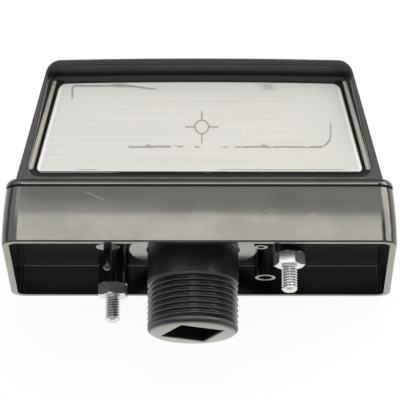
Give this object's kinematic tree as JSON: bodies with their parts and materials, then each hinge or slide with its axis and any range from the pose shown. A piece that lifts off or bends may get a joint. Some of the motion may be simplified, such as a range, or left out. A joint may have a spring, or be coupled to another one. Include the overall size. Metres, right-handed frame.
{
  "type": "number plate lamp",
  "caption": "Number plate lamp: a tilted translucent lens in a tapered visor hood on a box base, with mounting studs and a threaded cable spigot.",
  "frame": {"origin": "centre of the mounting plane, midway between the studs and level with the rim of the base", "axes": "+X along the lamp, +Y from the mounting plane into the hood, +Z out of the lens; the flat back is the lowest face"},
  "size_m": [0.1, 0.0624, 0.0621],
  "materials": {
    "black_gloss_plastic": "gloss black moulding",
    "black_satin_plastic": "satin black moulding",
    "milky_lens_plastic": "milky translucent, smooth",
    "white_plastic": "gloss white",
    "seal_rubber": "matt black",
    "zinc_steel": "bright zinc plate",
    "brass": "plain brass strip",
    "nickel_plated_brass": "nickel plated",
    "solder": "dull solder",
    "brown_insulator": "brown phenolic board",
    "black_glass": "opaque black glass",
    "clear_glass": "clear",
    "tungsten": "drawn wire"
  },
  "bodies": {
    "root": {"base_housing": "black_gloss_plastic", "hood": "black_gloss_plastic", "hood_seal": "seal_rubber", "lens": "milky_lens_plastic", "lens_seal": "seal_rubber", "reflector": "white_plastic", "threaded_spigot": "black_satin_plastic", "spigot_seal": "seal_rubber", "spigot_nut": "black_satin_plastic", "mounting_bolts": "zinc_steel", "mounting_nuts": "zinc_steel", "socket_shell": "brass", "socket_insulator": "brown_insulator", "feed_terminal": "brass", "earth_terminal": "brass", "bulb_contact": "solder", "bulb_insulator": "black_glass", "bulb_cap": "nickel_plated_brass", "bulb_glass": "clear_glass", "bulb_filament": "tungsten"}
  },
  "joints": []
}
